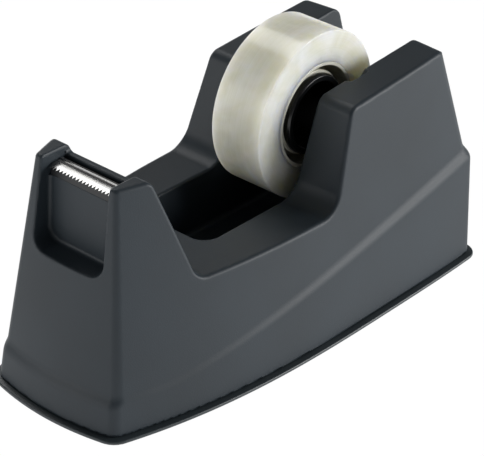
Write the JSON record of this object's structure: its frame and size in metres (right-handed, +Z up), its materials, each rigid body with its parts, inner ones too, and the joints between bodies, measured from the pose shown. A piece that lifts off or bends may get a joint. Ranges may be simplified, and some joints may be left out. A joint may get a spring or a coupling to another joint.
{
  "type": "desktop tape dispenser",
  "caption": "Weighted desktop tape dispenser: moulded body with a serrated cutting blade on the front tower and a lift-out hub that holds a roll of clear tape between the back towers.",
  "frame": {"origin": "on the table, under the middle of the base plate", "axes": "+X from the cutting end to the back, +Z up, +Y across, to the left when looking from the cutting end to the back"},
  "size_m": [0.1688, 0.0786, 0.0901],
  "materials": {
    "housing": "fine spark-eroded moulded texture, charcoal",
    "base": "moulded, satin black",
    "non_slip": "foam rubber sheet",
    "steel": "zinc plated",
    "ballast": "as cast",
    "carrier": "moulded, satin black",
    "blade": "bright ground teeth",
    "hub": "moulded, semi-gloss black",
    "core": "clear moulded plastic",
    "tape": "wound clear film, slightly hazy"
  },
  "bodies": {
    "housing": {"housing_shell": "housing", "base_plate": "base", "non_slip_sheet": "non_slip", "base_screws": "steel", "front_ballast": "ballast", "back_ballast": "ballast", "blade_carrier": "carrier", "cutting_blade": "blade"},
    "axle": {"hub_axle": "steel"},
    "reel": {"hub_drum": "hub", "hub_cap": "hub", "tape_core": "core", "tape_roll": "tape"}
  },
  "joints": [
    {"name": "reel_lift", "type": "slide", "parent": "housing", "child": "axle", "axis": [0.6293, 0, 0.7771], "range_m": [0, 0.06]},
    {"name": "reel_spin", "type": "hinge", "parent": "axle", "child": "reel", "pos_m": [0.0267, 0, 0.0625], "axis": [0, 1, 0], "continuous": true}
  ]
}
